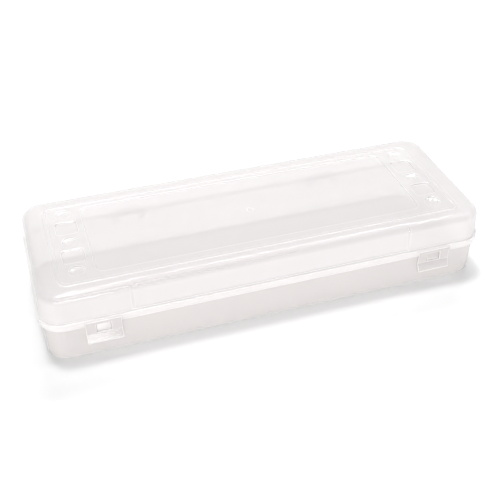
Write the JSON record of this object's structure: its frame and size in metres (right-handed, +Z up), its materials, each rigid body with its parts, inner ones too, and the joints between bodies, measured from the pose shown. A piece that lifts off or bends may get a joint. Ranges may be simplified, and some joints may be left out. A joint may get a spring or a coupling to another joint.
{
  "type": "pencil case",
  "caption": "Long translucent plastic pencil case: shallow tray, hinged lid with a sunk panel and end pockets, and snap latches on the front.",
  "frame": {"origin": "centre of the plane that the feet stand on", "axes": "+X along the case, +Y towards the hinges at the back, +Z up"},
  "size_m": [0.34, 0.1305, 0.0577],
  "materials": {
    "tray_plastic": "translucent polypropylene, smooth outside, faintly frosted",
    "lid_plastic": "translucent polypropylene, smooth outside, faintly frosted",
    "latch_plastic": "translucent polypropylene, smooth",
    "pin_steel": "drawn wire"
  },
  "bodies": {
    "base": {"base_tray": "tray_plastic", "base_feet": "tray_plastic", "catch_left": "tray_plastic", "catch_right": "tray_plastic", "hinge_ears_left": "tray_plastic", "hinge_ears_right": "tray_plastic", "hinge_pin_left": "pin_steel", "hinge_pin_right": "pin_steel"},
    "lid": {"lid_shell": "lid_plastic", "stacking_rim": "lid_plastic", "lid_knuckle_left": "lid_plastic", "lid_knuckle_right": "lid_plastic"},
    "latch_left": {"latch_left": "latch_plastic"},
    "latch_right": {"latch_right": "latch_plastic"}
  },
  "joints": [
    {"name": "lid_hinge", "type": "hinge", "parent": "base", "child": "lid", "pos_m": [0, 0.06315, 0.0301], "axis": [-1, 0, 0], "range_deg": [0, 175]},
    {"name": "latch_left_flex", "type": "hinge", "parent": "lid", "child": "latch_left", "pos_m": [-0.127, -0.06195, 0.0326], "axis": [-1, 0, 0], "range_deg": [0, 12], "stiffness_Nm_per_rad": 0.05},
    {"name": "latch_right_flex", "type": "hinge", "parent": "lid", "child": "latch_right", "pos_m": [0.127, -0.06195, 0.0326], "axis": [-1, 0, 0], "range_deg": [0, 12], "stiffness_Nm_per_rad": 0.05}
  ]
}
